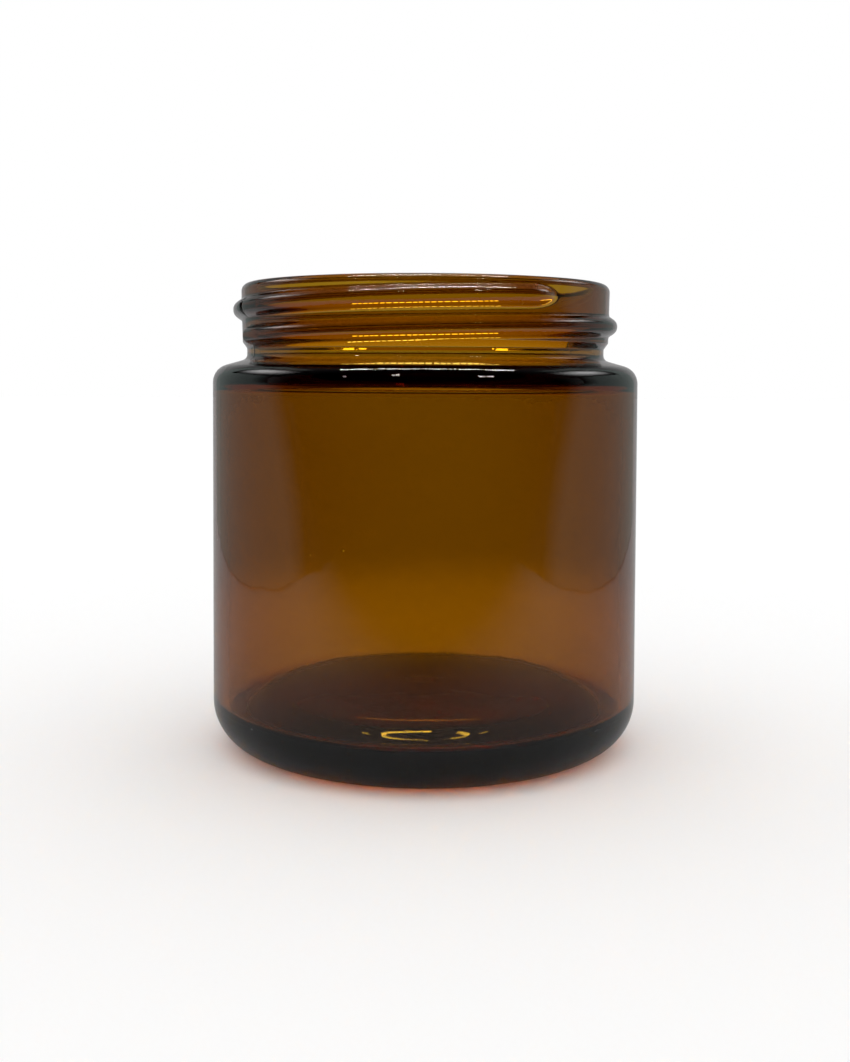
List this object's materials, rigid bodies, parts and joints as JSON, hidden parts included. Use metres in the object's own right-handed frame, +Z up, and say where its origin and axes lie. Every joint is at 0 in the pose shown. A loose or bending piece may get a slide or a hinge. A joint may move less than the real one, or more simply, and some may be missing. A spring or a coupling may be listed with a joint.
{
  "type": "glass jar",
  "caption": "Round wide-mouth amber glass jar with an external screw thread, straight sides and a thick rounded base; holds ointments, creams and powders.",
  "frame": {"origin": "on the jar's axis, at the plane that the jar stands on", "axes": "+Z up the jar's axis towards the mouth; -Y is the side that faces the picture's camera"},
  "size_m": [0.076, 0.076, 0.0822],
  "materials": {
    "amber_glass": "clear, fire-polished amber glass"
  },
  "bodies": {
    "root": {"glass_jar": "amber_glass"}
  },
  "joints": []
}
